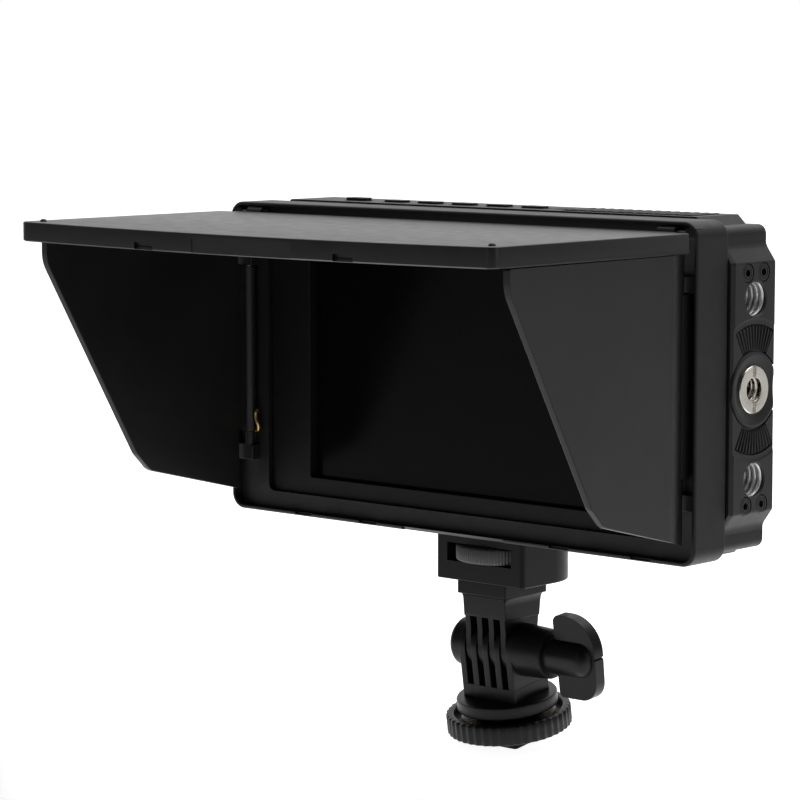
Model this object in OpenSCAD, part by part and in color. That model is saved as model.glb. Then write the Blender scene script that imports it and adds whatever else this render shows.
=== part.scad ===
// Camera field monitor with a folding sun hood, on a tilting accessory-shoe stand.
// Millimetres. +Z up, +X to the right seen from the screen side, +Y from the screen to the back.
// The origin is the centre of the underside of the shoe foot.

/* [Monitor body] */
// Width of the rear shell
body_w = 155.2; // [150:0.2:155.6]
// Height of the rear shell's flat top above mid-screen
body_top = 40.3; // [38:0.1:40.5]
// Depth of the rear shell's flat underside below mid-screen
body_bottom = 40.4; // [38:0.1:40.5]
// Distance from the hood frame's front plane to the back face of the shell
body_back = 30.4; // [28:0.2:36]
// Wall thickness of the rear shell
shell_wall = 2.0; // [1.5:0.1:3]
// Width of the screen opening
screen_w = 108; // [100:0.5:112]
// Height of the screen opening
screen_h = 63.5; // [60:0.5:66]
// Height of the raised ridge on top of the shell
ridge_h = 2.2; // [1:0.1:3]

/* [Side plates] */
// Thickness of a side mounting plate
plate_t = 3.0; // [2.5:0.1:4]
// Distance from the hood frame's front plane to the rosette's centre
rosette_y = 22.3; // [21:0.1:23]
// Outer diameter of the rosette's teeth
rosette_d = 31.8; // [31.8:0.1:32]
// Distance of each large thread from the rosette's centre
insert_z = 22.4; // [21:0.1:24]
// Minor diameter of the 3/8 inch thread insert
large_minor = 7.9; // [7.8:0.05:8.1]
// Minor diameter of the 1/4 inch thread in the bushing
small_minor = 5.2; // [5.1:0.05:5.4]
// Outer diameter of the centre bushing
bush_d = 12; // [11:0.5:13]

/* [Sun hood] */
// Width of the hood frame
frame_w = 158.6; // [158:0.2:160]
// Height of the hood frame
frame_h = 84.2; // [83.8:0.2:86]
// Depth of the hood frame
frame_d = 12.6; // [11:0.2:14]
// Reach of the top flap in front of the frame
top_reach = 76.0; // [72:0.5:80]
// Depth of the rim round the top flap
rim_h = 5.2; // [4.5:0.1:6]
// Reach of the side flaps in front of the frame
side_reach = 69.3; // [60:0.5:70]
// Thickness of the side flaps
side_t = 2.0; // [1.6:0.1:2.4]
// Diameter of the side flaps' hinge barrels
barrel_d = 3.2; // [3:0.1:3.4]
// Diameter of the hinge pins
hinge_pin_d = 1.6; // [1.4:0.1:1.8]

/* [Stand] */
// Height of the block under the monitor
block_h = 12; // [11:0.5:13]
// Diameter of the thumb wheel
wheel_d = 24.6; // [22:0.2:25]
// Thickness of each hinge fin
fin_t = 2.0; // [1.8:0.1:2.1]
// Distance from the tilt axis to the underside of the shoe foot
tilt_to_foot = 24.8; // [24:0.1:27]
// Tilt of the foot against the monitor as stored
foot_tilt = 9; // [0:1:20]
// Diameter of the lock ring
ring_d = 33.4; // [30:0.2:34]
// Number of flutes round the lock ring
ring_flutes = 44; // [24:1:60]
// Width of the shoe foot
foot_w = 18.6; // [18:0.1:18.6]

/* [Hidden] */
$fn = 48;
bw = body_w / 2;
fw = frame_w / 2;
fh = frame_h / 2;
wall = 1.3;
lip = 0.9;
flange_y = 3.0;
flange_t = 1.3;
bezel_y = 4.6;
hinge_x = 73.2;
hinge_y = 1.1;
flap_out = 77.6;
flap_splay = 0.9;
top_ax_y = 1.1;
top_ax_z = 39.3;
flap_z = 39.4;
skin_t = 1.6;
tilt_y = 21.5;
tilt_z = -74;
block_y = 25.4;
wheel_y = tilt_y;
plate_x = bw + plate_t;
org_y = tilt_y + tilt_to_foot * sin(foot_tilt);
org_z = tilt_z - tilt_to_foot * cos(foot_tilt);

// ---- helpers ----
module at_monitor() { translate([0, -org_y, -org_z]) children(); }
module at_foot() { rotate([foot_tilt, 0, 0]) translate([0, 0, tilt_to_foot]) children(); }
module exx(x0, x1) { translate([x0, 0, 0]) rotate([90, 0, 90]) linear_extrude(x1 - x0) children(); }
module exy(y0, y1) { translate([0, y1, 0]) rotate([90, 0, 0]) linear_extrude(y1 - y0) children(); }
module exz(z0, z1) { translate([0, 0, z0]) linear_extrude(z1 - z0) children(); }
module box(a, b) { translate(a) cube(b - a); }
module cylx(x0, x1, y, z, r) { translate([x0, y, z]) rotate([0, 90, 0]) cylinder(h = x1 - x0, r = r); }
module cyly(y0, y1, x, z, r) { translate([x, y0, z]) rotate([-90, 0, 0]) cylinder(h = y1 - y0, r = r); }
module cylz(z0, z1, x, y, r) { translate([x, y, z0]) cylinder(h = z1 - z0, r = r); }
module both() { children(); mirror([1, 0, 0]) children(); }
module rrect(w, h, r) {
  square([w - 2 * r, h], center = true);
  square([w, h - 2 * r], center = true);
  for (i = [-1, 1], j = [-1, 1]) translate([i * (w / 2 - r), j * (h / 2 - r)]) circle(r);
}
function unit(v) = v / norm(v);
function fillet(a, b, c, r, n) =
  let (u = unit(a - b), v = unit(c - b), g = acos(u * v), d = r / tan(g / 2),
       m = b + unit(u + v) * (r / sin(g / 2)), s = b + u * d, e = b + v * d,
       a0 = atan2(s[1] - m[1], s[0] - m[0]), a1 = atan2(e[1] - m[1], e[0] - m[0]),
       da = ((a1 - a0 + 540) % 360) - 180)
  [for (i = [0:n]) m + r * [cos(a0 + da * i / n), sin(a0 + da * i / n)]];
function rounded(p, r, n = 4) = [for (i = [0:len(p) - 1])
  let (m = len(p), q = is_list(r) ? r[i] : r)
  each (q <= 0 ? [p[i]] : fillet(p[(i + m - 1) % m], p[i], p[(i + 1) % m], q, n))];

// ---- sun hood ----
module hood_frame() {
  color([0.06, 0.06, 0.065]) at_monitor() difference() {
    union() {
      difference() {
        exy(0, frame_d) rrect(frame_w, frame_h, 4.2);
        exy(-0.1, flange_y) rrect(frame_w - 2 * lip, frame_h - 2 * lip, 3.4);
        exy(flange_y + flange_t, frame_d + 0.1) rrect(frame_w - 2 * wall, frame_h - 2 * wall, 3);
        exy(flange_y - 0.1, flange_y + flange_t + 0.1) rrect(136, 73.4, 2);
      }
      // ears that hold the side hinge pins
      both() for (z = [[24.9, 28.9], [-28.4, -24.2]])
        box([71.4, -0.1, z[0]], [78.6, flange_y + 0.1, z[1]]);
      both() cylz(-24.3, -22.5, hinge_x, hinge_y, 1.2);
      // ears that hold the top hinge pins
      both() box([75.3, 0, 37.4], [78.6, flange_y + 0.1, 41.3]);
    }
    // bores of the hinge pins
    both() cylz(-27.9, 28.4, hinge_x, hinge_y, hinge_pin_d / 2);
    both() cylx(75.2, 77.8, top_ax_y, top_ax_z, hinge_pin_d / 2);
    // snap slots along the bottom lip
    for (x = [-52.3, -28.6, 36.6, 62.6]) box([x - 3, -0.1, -fh + 0.4], [x + 3, 0.9, -fh + 1.1]);
    // finger notch in the middle of the bottom lip
    exx(-16.3, 18.4) polygon([[-0.1, -fh - 0.1], [1.3, -fh - 0.1], [-0.1, -fh + 0.8]]);
  }
}
module hood_top_flap() {
  color([0.08, 0.08, 0.085]) at_monitor() difference() {
    union() {
      difference() {
        exz(flap_z - rim_h, flap_z) polygon(rounded([[-79.5, -3.6], [-79.5, -top_reach],
          [79.5, -top_reach], [79.5, -3.6], [74.6, -3.6], [74.6, -1.5], [-74.6, -1.5], [-74.6, -3.6]],
          [0, 3.2, 3.2, 0, 0, 0, 0, 0], 8));
        exz(flap_z - rim_h - 0.1, flap_z - skin_t) polygon(rounded([[-77.9, 0], [-77.9, 1.6 - top_reach],
          [77.9, 1.6 - top_reach], [77.9, 0]], [0, 1.6, 1.6, 0], 6));
      }
      // hinge knuckles
      both() cylx(67.2, 72.5, top_ax_y, top_ax_z, 1.7);
      both() box([67.2, -3, flap_z - skin_t], [72.5, top_ax_y, flap_z]);
      both() box([67.2, -0.5, flap_z - skin_t], [72.5, top_ax_y, 40.4]);
    }
    both() cylx(67.1, 72.6, top_ax_y, top_ax_z, hinge_pin_d / 2 + 0.05);
    // snap notches in the front rim
    for (x = [-33.6, 33.6]) box([x - 3.3, -top_reach - 0.1, 34.8], [x + 3.3, -top_reach + 0.7, 36.4]);
    for (i = [-1, 1]) cylz(flap_z - 1, flap_z + 0.1, i * 75.3, -71.4, 0.9);
  }
}
module side_flap() {
  outline = rounded([[-0.8, 33.9], [-side_reach, 33.9], [-side_reach, 28.8], [-66.4, 24.0],
    [-38.6, -23.6], [-33.7, -28.5], [-0.8, -36.6], [-0.8, -29.2], [-2.3, -29.2], [-2.3, 29.2], [-0.8, 29.2]],
    [0, 0, 1.2, 3, 3, 3, 1, 0, 0, 0, 0], 4);
  translate([hinge_x, hinge_y, 0]) rotate(flap_splay) translate([-hinge_x, -hinge_y, 0]) difference() {
    union() {
      exx(flap_out - side_t, flap_out) polygon(outline);
      cylz(-20.3, 24.5, hinge_x, hinge_y, barrel_d / 2);
      box([flap_out - side_t, -2.4, -20.3], [flap_out - 1, hinge_y, 24.5]);
      box([hinge_x, 0.1, -20.3], [flap_out - 1, hinge_y, 24.5]);
    }
    cylz(-20.4, 24.6, hinge_x, hinge_y, hinge_pin_d / 2 + 0.05);
  }
}
module hood_right_flap() { color([0.09, 0.09, 0.095]) at_monitor() side_flap(); }
module hood_left_flap() { color([0.09, 0.09, 0.095]) at_monitor() mirror([1, 0, 0]) side_flap(); }
module top_hinge_pins() {
  color([0.5, 0.5, 0.5]) at_monitor() both() cylx(67.6, 77.8, top_ax_y, top_ax_z, hinge_pin_d / 2);
}
module side_pin() { cylz(-27.9, 28.4, hinge_x, hinge_y, hinge_pin_d / 2); }
module right_hinge_pin() { color([0.5, 0.5, 0.5]) at_monitor() side_pin(); }
module left_hinge_pin() { color([0.5, 0.5, 0.5]) at_monitor() mirror([1, 0, 0]) side_pin(); }
// torsion spring round the lower end of the pin, with one leg along the flange
module side_spring() {
  difference() {
    union() {
      cylz(-22.2, -20.5, hinge_x, hinge_y, 1.35);
      box([hinge_x - 2.6, hinge_y + 0.55, -22.2], [hinge_x, hinge_y + 1.3, -21.4]);
      box([hinge_x - 3.1, hinge_y + 0.55, -22.2], [hinge_x - 2.4, hinge_y + 1.3, -15.6]);
    }
    cylz(-22.4, -20.4, hinge_x, hinge_y, hinge_pin_d / 2 + 0.06);
  }
}
module right_hinge_spring() { color([0.75, 0.55, 0.2]) at_monitor() side_spring(); }
module left_hinge_spring() { color([0.75, 0.55, 0.2]) at_monitor() mirror([1, 0, 0]) side_spring(); }
module flap_bumpers() {
  color([0.03, 0.03, 0.03]) at_monitor() for (i = [-1, 1]) cylz(flap_z - 1, flap_z + 0.8, i * 75.3, -71.4, 0.9);
}

// ---- monitor ----
module front_bezel() {
  color([0.05, 0.05, 0.05]) at_monitor() difference() {
    exy(bezel_y, 8.4) rrect(body_w, body_top + body_bottom, 2.4);
    translate([0, 0, -0.35]) {
      exy(bezel_y - 0.1, 8.5) rrect(screen_w, screen_h, 1);
      exy(7.1, 8.5) rrect(screen_w + 12, screen_h + 6, 1);
    }
  }
}
module screen_glass() {
  color([0.01, 0.01, 0.012]) at_monitor() exy(7.1, 8.4) translate([0, -0.35]) rrect(screen_w + 12, screen_h + 6, 1);
}
module lcd_panel() {
  color([0.6, 0.6, 0.62]) at_monitor() box([-59, 8.4, -35], [59, 12.4, 34]);
}
module main_board() {
  color([0.05, 0.3, 0.12]) at_monitor() {
    box([-66, 16, -31], [66, 17.6, 29]);
    box([-20, 17.6, -10], [0, 19.4, 10]);
    box([12, 17.6, 0], [24, 19.0, 12]);
    // stand-offs between the panel and the board
    for (x = [-50, 50], z = [-26, 24]) cyly(12.4, 16, x, z, 2.5);
  }
}
module rear_shell() {
  color([0.07, 0.07, 0.075]) at_monitor() difference() {
    union() {
      exy(8.4, body_back) translate([0, (body_top - body_bottom) / 2])
        rrect(body_w, body_top + body_bottom, 2.4);
      // raised ridge along the top
      exy(13.2, body_back) polygon([[-71.3, body_top - 1], [-71.3, body_top], [-69, body_top + ridge_h],
        [69, body_top + ridge_h], [71.3, body_top], [71.3, body_top - 1]]);
      // the same ridge along the bottom, over the stand
      exy(13.2, body_back) polygon([[-71.3, -body_bottom + 1], [-71.3, -body_bottom], [-69, -body_bottom - ridge_h],
        [69, -body_bottom - ridge_h], [71.3, -body_bottom], [71.3, -body_bottom + 1]]);
    }
    box([-bw + shell_wall, 8.3, -body_bottom + shell_wall],
        [bw - shell_wall, body_back - shell_wall, body_top - shell_wall]);
    // pockets of the top buttons
    for (x = button_x) box([x - button_l / 2 - 0.15, 17.85, body_top - 2.1], [x + button_l / 2 + 0.15, 22.15, body_top + ridge_h + 0.1]);
    box([24, 15, body_top - 2.1], [66, 28, body_top + ridge_h + 0.1]);
    // holes for the side inserts and bushings
    both() for (z = [-insert_z, insert_z]) cylx(bw - shell_wall - 0.1, bw + 0.1, rosette_y, z, 4.8);
    both() cylx(bw - shell_wall - 0.1, bw + 0.1, rosette_y, 0, bush_d / 2);
    // hole for the bottom thread
    cylz(-body_bottom - 2.7, -body_bottom + shell_wall + 0.1, 0, wheel_y, 5);
    // openings for the sockets
    box([-52, body_back - shell_wall - 0.1, -30], [-36, body_back + 0.1, -24]);
    box([-32, body_back - shell_wall - 0.1, -30], [-16, body_back + 0.1, -24]);
    cyly(body_back - shell_wall - 0.1, body_back + 0.1, 28, -27, 4.2);
    cyly(body_back - shell_wall - 0.1, body_back + 0.1, 42, -27, 3.2);
    for (i = [-1, 1], z = [-34, 34]) cyly(body_back - shell_wall - 0.1, body_back + 0.1, i * 70, z, 1.6);
  }
}
// one fan of the rosette, a sector of a ring
module fan() {
  polygon([for (a = [-6:6]) 16.2 * [cos(4.8 * a), sin(4.8 * a)], for (a = [6:-1:-6]) 9.7 * [cos(4.8 * a), sin(4.8 * a)]]);
}
module side_plate() {
  difference() {
    union() {
      exy(12.9, body_back) polygon(rounded([[bw, -34.6], [plate_x, -30.4], [plate_x, 31.4], [bw, 35.6]], [0, 1.3, 1.3, 0]));
    }
    // recess of the rosette, with its teeth standing in it
    cylx(plate_x - 0.25, plate_x + 0.1, rosette_y, 0, 17.7);
    for (s = [90, 270]) translate([plate_x, rosette_y, 0]) rotate([s, 0, 0]) exx(-0.9, 0.1) fan();
    cylx(plate_x - 0.7, plate_x + 0.1, rosette_y, 0, 9.9);
    for (z = [-insert_z, insert_z]) {
      cylx(bw - 0.1, plate_x - 1.1, rosette_y, z, 4.8);
      cylx(plate_x - 1.2, plate_x + 0.1, rosette_y, z, 4.35);
    }
    cylx(bw - 0.1, plate_x + 0.1, rosette_y, 0, bush_d / 2);
    for (y = [-3.3, 3.3], z = [-28.7, 28.9]) {
      cylx(bw - 0.1, plate_x + 0.1, rosette_y + y, z, 1.3);
      cylx(plate_x - 2.0, plate_x + 0.1, rosette_y + y, z, 2.4);
    }
  }
  intersection() {
    box([bw, 13.2, -17], [plate_x + 1, body_back, 17]);
    union() {
      difference() {
        cylx(plate_x - 1, plate_x - 0.05, rosette_y, 0, 9.5);
        cylx(plate_x - 1.1, plate_x + 0.1, rosette_y, 0, bush_d / 2);
      }
      // two fans of radial teeth
      for (s = [90, 270], k = [-5.5:1:5.5]) translate([plate_x, rosette_y, 0]) rotate([s + k * 4.8, 0, 0])
        exx(-1, -0.2) polygon([[10.4, -0.26], [rosette_d / 2, -0.42], [rosette_d / 2, 0.42], [10.4, 0.26]]);
    }
  }
}
module side_plate_right() { color([0.12, 0.12, 0.125]) at_monitor() side_plate(); }
module side_plate_left() { color([0.12, 0.12, 0.125]) at_monitor() mirror([1, 0, 0]) side_plate(); }
module side_plate_screws() {
  color([0.1, 0.1, 0.1]) at_monitor() both() for (y = [-3.3, 3.3], z = [-28.7, 28.9]) difference() {
    union() {
      cylx(plate_x - 2.0, plate_x - 0.1, rosette_y + y, z, 2.3);
      cylx(bw, plate_x - 2.0, rosette_y + y, z, 1.25);
    }
    translate([plate_x - 1.2, rosette_y + y, z]) rotate([0, 90, 0]) cylinder(h = 1.2, r = 0.8, $fn = 6);
  }
}
module coil_inserts() {
  color([0.85, 0.85, 0.86]) at_monitor() both() for (z = [-insert_z, insert_z]) difference() {
    cylx(72, plate_x - 1.1, rosette_y, z, 4.8);
    cylx(71.9, plate_x, rosette_y, z, large_minor / 2);
  }
}
module centre_bushings() {
  color([0.8, 0.76, 0.68]) at_monitor() both() difference() {
    cylx(bw - shell_wall, plate_x - 0.15, rosette_y, 0, bush_d / 2);
    cylx(bw - shell_wall - 0.1, plate_x, rosette_y, 0, small_minor / 2);
    box([plate_x - 0.9, rosette_y - 0.6, -bush_d], [plate_x, rosette_y + 0.6, bush_d]);
  }
}
module top_grille() {
  color([0.05, 0.05, 0.05]) at_monitor() {
    box([24, 15, body_top - 1.6], [66, 28, body_top + 1.2]);
    for (i = [0:13]) box([25.2 + i * 3, 15.8, body_top + 1], [26.6 + i * 3, 27.2, body_top + ridge_h + 0.3]);
  }
}
button_x = [-50, -36, -24, -12, 0, 12];
button_l = 7.6;
module button(i, proud = 0.6) {
  x = button_x[i];
  color([0.04, 0.04, 0.04]) at_monitor() {
    box([x - button_l / 2 + 0.15, 18.15, body_top - 0.2], [x + button_l / 2 - 0.15, 21.85, body_top + ridge_h + proud]);
  }
}
module power_button() { button(0, 0.8); }
module input_button() { button(1); }
module menu_button() { button(2); }
module down_button() { button(3); }
module up_button() { button(4); }
module function_button() { button(5); }

module battery_plate() {
  color([0.06, 0.06, 0.06]) at_monitor() difference() {
    union() {
      box([-21, body_back, -20], [21, body_back + 2.4, 34]);
      // undercut side rails
      both() box([17.4, body_back + 2.4, -16], [21, body_back + 5.4, 32]);
      both() box([15.6, body_back + 4.0, -16], [21, body_back + 5.4, 32]);
    }
    // slot of the latch
    box([-5.3, body_back + 0.4, -17], [5.3, body_back + 6, -9]);
    // seat of the contacts
    box([-8, body_back + 0.4, 24], [8, body_back + 6, 32]);
  }
}
module battery_latch() {
  color([0.1, 0.1, 0.1]) at_monitor() {
    box([-5, body_back + 0.7, -14.8], [5, body_back + 2.4, -11.2]);
    box([-4, body_back + 2.3, -14.2], [4, body_back + 4.2, -11.8]);
  }
}
module battery_contacts() {
  color([0.8, 0.62, 0.25]) at_monitor() {
    for (x = [-5, 0, 5]) box([x - 0.6, body_back + 0.4, 25], [x + 0.6, body_back + 3.4, 31.5]);
  }
}
module video_sockets() {
  color([0.7, 0.7, 0.7]) at_monitor() for (x = [-52, -32]) difference() {
    box([x + 0.1, 20, -29.9], [x + 15.9, body_back - 0.2, -24.1]);
    box([x + 0.7, 22, -29.3], [x + 15.3, body_back, -24.7]);
  }
}
module dc_socket() {
  color([0.15, 0.15, 0.15]) at_monitor() difference() {
    cyly(19, body_back - 0.1, 28, -27, 4.1);
    cyly(21, body_back, 28, -27, 2.9);
  }
}
module headphone_socket() {
  color([0.15, 0.15, 0.15]) at_monitor() difference() {
    cyly(18, body_back - 0.1, 42, -27, 3.1);
    cyly(19.5, body_back, 42, -27, 1.8);
  }
}
module rear_screws() {
  color([0.3, 0.3, 0.3]) at_monitor() for (i = [-1, 1], z = [-34, 34]) difference() {
    union() {
      cyly(body_back - shell_wall - 6, body_back + 0.1, i * 70, z, 1.5);
      cyly(body_back, body_back + 1.0, i * 70, z, 2.6);
    }
    box([i * 70 - 1.8, body_back + 0.5, z - 0.3], [i * 70 + 1.8, body_back + 1.1, z + 0.3]);
    box([i * 70 - 0.3, body_back + 0.5, z - 1.8], [i * 70 + 0.3, body_back + 1.1, z + 1.8]);
  }
}
module bottom_insert() {
  color([0.75, 0.75, 0.75]) at_monitor() difference() {
    cylz(-body_bottom - 2.0, -body_bottom + shell_wall + 4, 0, wheel_y, 4.9);
    cylz(-body_bottom - 2.5, -body_bottom + shell_wall + 4.1, 0, wheel_y, 3.22);
  }
}

// ---- stand: upper part, moves with the monitor ----
module block_outline(r = 15, y0 = 12) {
  translate([0, block_y]) circle(r);
  translate([-r, y0]) square([2 * r, block_y - y0]);
}
module mount_pad() {
  color([0.03, 0.03, 0.03]) at_monitor() difference() {
    exz(-44, -body_bottom - ridge_h) block_outline(14.4, 13.2);
    cylz(-44.1, -42, 0, wheel_y, 3.6);
  }
}
module mount_block() {
  color([0.08, 0.08, 0.08]) at_monitor() difference() {
    exz(-44 - block_h, -44) block_outline();
    // slot that holds the thumb wheel, open at the front
    cylz(-51.0, -46.1, 0, wheel_y, wheel_d / 2 + 0.35);
    box([-11, 11, -51.0], [11, wheel_y, -46.1]);
    cylz(-46.2, -43.9, 0, wheel_y, 3.4);
    cylz(-54, -50.9, 0, wheel_y, 3.4);
  }
}
module thumb_wheel() {
  color([0.25, 0.25, 0.25]) at_monitor() difference() {
    union() {
      cylz(-50.7, -46.5, 0, wheel_y, wheel_d / 2 - 0.35);
      // straight knurl
      for (i = [0:71]) translate([0, wheel_y, -50.5]) rotate(i * 5) translate([wheel_d / 2 - 0.5, -0.3, 0]) cube([0.5, 0.6, 3.8]);
    }
    cylz(-50.8, -46.4, 0, wheel_y, 3.17);
  }
}
module mount_screw() {
  color([0.7, 0.7, 0.7]) at_monitor() cylz(-53.6, -36.5, 0, wheel_y, 3.17);
}
module tilt_neck() {
  color([0.08, 0.08, 0.08]) at_monitor() difference() {
    union() {
      box([-8.3, 13, -59.6], [8.3, 30, -56]);
      exx(-7.2, 7.2) polygon([[13.9, -59.6], [14.4, -65.0], [tilt_y - 6.6, -68.2], [tilt_y - 6.6, tilt_z],
        [tilt_y + 6.6, tilt_z], [tilt_y + 6.6, -68.2], [28.5, -65.0], [29.0, -59.6]]);
      cylx(-7.2, 7.2, tilt_y, tilt_z, 6.6);
    }
    // slots for the fins of the base, and the two outer steps
    for (x = [-4, 0, 4]) box([x - fin_t / 2 - 0.13, 5, tilt_z - 8], [x + fin_t / 2 + 0.13, 38, tilt_z + 8.4]);
    both() box([8 - fin_t / 2 - 0.13, 5, tilt_z - 8], [10, 38, tilt_z + 8.4]);
    cylx(-8, 8, tilt_y, tilt_z, 2.55);
  }
}

// ---- stand: lower part, drawn about the tilt axis ----
module clevis_base() {
  color([0.08, 0.08, 0.08]) at_foot() difference() {
    union() {
      for (x = [-8, -4, 0, 4, 8]) {
        box([x - fin_t / 2, -7, -11], [x + fin_t / 2, 7, 0]);
        cylx(x - fin_t / 2, x + fin_t / 2, 0, 0, 7);
      }
      box([-9, -7, -12.9], [9, 7, -10.2]);
      cylz(-16.4, -12.8, 0, 0, 13.5);
      cylz(-18.2, -16.3, 0, 0, 9);
      // boss that the bolt comes out of
      translate([8.9, 0, 0]) rotate([0, 90, 0]) cylinder(h = 9.1, r1 = 7.0, r2 = 6.5);
    }
    cylx(-9.1, 18.1, 0, 0, 2.55);
    cylz(-18.3, -12.0, 0, 0, 5.05);
  }
}
module tilt_bolt() {
  color([0.6, 0.6, 0.6]) at_foot() cylx(-9.6, 27, 0, 0, 2.5);
}
module bolt_cap() {
  color([0.08, 0.08, 0.08]) at_foot() difference() {
    union() {
      cylx(-12, -9, 0, 0, 6.7);
      translate([-12, 0, 0]) intersection() {
        translate([10.9, 0, 0]) sphere(12.8, $fn = 64);
        cylx(-3, 0.01, 0, 0, 6.7);
      }
    }
    cylx(-9.6, -8.9, 0, 0, 2.5);
  }
}
module knob_washer() {
  color([0.5, 0.5, 0.5]) at_foot() difference() {
    cylx(18, 18.5, 0, 0, 4.6);
    cylx(17.9, 18.6, 0, 0, 2.5);
  }
}
module wing_knob() {
  color([0.1, 0.1, 0.1]) at_foot() difference() {
    union() {
      cylx(18.65, 30.9, 0, 0, 5.1);
      rotate([-3, 0, 0]) exy(-1.8, 1.8) polygon(rounded([[19.5, 11.4], [20.6, -10.7], [33.0, -10.7], [33.0, 11.4]],
        [2, 1.6, 5, 9.5], 6));
    }
    cylx(18.6, 27.6, 0, 0, 2.56);
  }
}
module lock_ring() {
  color([0.08, 0.08, 0.08]) at_foot() difference() {
    union() {
      cylz(-22.5, -17.05, 0, 0, ring_d / 2 - 0.45);
      for (i = [0:ring_flutes - 1]) rotate(i * 360 / ring_flutes) box([ring_d / 2 - 1.2, -0.75, -22.3], [ring_d / 2, 0.75, -17.4]);
    }
    cylz(-19.4, -16.9, 0, 0, 14.5);
    cylz(-22.6, -16.9, 0, 0, 5.35);
  }
}
module swivel_washer() {
  color([0.72, 0.6, 0.3]) at_foot() difference() {
    cylz(-19.0, -18.4, 0, 0, 12.6);
    cylz(-19.1, -18.3, 0, 0, 5.0);
  }
}
module shoe_foot() {
  color([0.12, 0.12, 0.12]) at_foot() {
    exz(-tilt_to_foot, -22.8) polygon(rounded([[-foot_w / 2, -9], [foot_w / 2, -9], [foot_w / 2, 9], [-foot_w / 2, 9]], 1, 4));
    cylz(-22.9, -12.4, 0, 0, 5);
  }
}

hood_frame();
hood_top_flap();
hood_left_flap();
hood_right_flap();
top_hinge_pins();
left_hinge_pin();
right_hinge_pin();
left_hinge_spring();
right_hinge_spring();
flap_bumpers();
front_bezel();
screen_glass();
lcd_panel();
main_board();
rear_shell();
side_plate_right();
side_plate_left();
side_plate_screws();
coil_inserts();
centre_bushings();
top_grille();
power_button();
input_button();
menu_button();
down_button();
up_button();
function_button();
battery_plate();
battery_latch();
battery_contacts();
video_sockets();
dc_socket();
headphone_socket();
rear_screws();
bottom_insert();
mount_pad();
mount_block();
thumb_wheel();
mount_screw();
tilt_neck();
clevis_base();
tilt_bolt();
bolt_cap();
knob_washer();
wing_knob();
lock_ring();
swivel_washer();
shoe_foot();
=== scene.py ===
import math
import bpy
import bmesh
from mathutils import Matrix, Vector

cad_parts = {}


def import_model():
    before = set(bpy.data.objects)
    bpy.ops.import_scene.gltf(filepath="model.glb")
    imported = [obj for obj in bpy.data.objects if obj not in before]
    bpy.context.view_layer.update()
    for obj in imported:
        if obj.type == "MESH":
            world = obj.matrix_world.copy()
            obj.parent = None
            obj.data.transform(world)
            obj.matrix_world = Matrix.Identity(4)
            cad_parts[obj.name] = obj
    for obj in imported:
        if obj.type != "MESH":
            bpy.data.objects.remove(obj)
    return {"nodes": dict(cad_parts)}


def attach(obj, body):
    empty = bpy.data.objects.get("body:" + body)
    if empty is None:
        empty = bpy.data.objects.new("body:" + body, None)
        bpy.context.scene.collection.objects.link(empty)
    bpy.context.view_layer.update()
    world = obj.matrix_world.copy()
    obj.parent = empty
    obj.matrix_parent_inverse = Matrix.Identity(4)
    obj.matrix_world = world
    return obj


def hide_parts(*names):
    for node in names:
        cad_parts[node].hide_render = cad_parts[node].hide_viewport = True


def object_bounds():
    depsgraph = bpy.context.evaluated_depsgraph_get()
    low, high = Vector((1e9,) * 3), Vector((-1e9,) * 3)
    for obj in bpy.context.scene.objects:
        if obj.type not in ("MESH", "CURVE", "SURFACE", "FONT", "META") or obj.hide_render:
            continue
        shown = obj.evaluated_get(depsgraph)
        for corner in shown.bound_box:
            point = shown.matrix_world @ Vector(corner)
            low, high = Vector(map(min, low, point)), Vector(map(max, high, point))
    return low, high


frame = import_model()
CAD_BOX = [list(v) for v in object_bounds()]

# ---------------------------------------------------------------- frame of reference
# Pieces are drawn in millimetres about the hood frame's front plane (the monitor's
# frame) or about the stand's tilt axis (the foot's frame), then set in the row frame.
TILT = math.radians(9)
OY = 21.5 + 24.8 * math.sin(TILT)
OZ = -74 - 24.8 * math.cos(TILT)
MM = Matrix.Scale(0.001, 4)
T_MON = Matrix.Translation((0, -OY * 0.001, -OZ * 0.001)) @ MM
T_FOOT = Matrix.Rotation(TILT, 4, "X") @ Matrix.Translation((0, 0, 0.0248)) @ MM
SCENE = bpy.context.scene
COL = SCENE.collection
TAU = 2 * math.pi

BW, PLATE_X = 77.6, 80.6
B_TOP, B_BOT, B_BACK = 40.3, 40.4, 30.4
RIDGE = 2.2
ROS_Y, INS_Z = 22.3, 22.4
HX, HY = 73.2, 1.1
TAY, TAZ = 1.1, 39.3
FZ = 39.4
REACH = 76.0
BLOCK_Y, WHEEL_Y = 25.4, 21.5


# ---------------------------------------------------------------- mesh kit
def obj(name, bm):
    me = bpy.data.meshes.new(name)
    bm.normal_update()
    bm.to_mesh(me)
    bm.free()
    o = bpy.data.objects.new(name, me)
    COL.objects.link(o)
    return o


def place(ax, u, v, t):
    return {"x": (t, u, v), "y": (u, t, v), "z": (u, v, t)}[ax]


def prism(pts, ax, a, b, taper=None):
    bm = bmesh.new()
    q = taper or pts
    va = [bm.verts.new(place(ax, u, v, a)) for u, v in pts]
    vb = [bm.verts.new(place(ax, u, v, b)) for u, v in q]
    bm.faces.new(va)
    bm.faces.new(vb)
    n = len(pts)
    for i in range(n):
        bm.faces.new((va[i], va[(i + 1) % n], vb[(i + 1) % n], vb[i]))
    bmesh.ops.recalc_face_normals(bm, faces=bm.faces)
    return obj("part", bm)


def box(a, b):
    return prism([(a[0], a[1]), (b[0], a[1]), (b[0], b[1]), (a[0], b[1])], "z", a[2], b[2])


def circle(r, n=64, cx=0.0, cy=0.0, a0=0.0):
    return [(cx + r * math.cos(a0 + TAU * i / n), cy + r * math.sin(a0 + TAU * i / n)) for i in range(n)]


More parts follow.
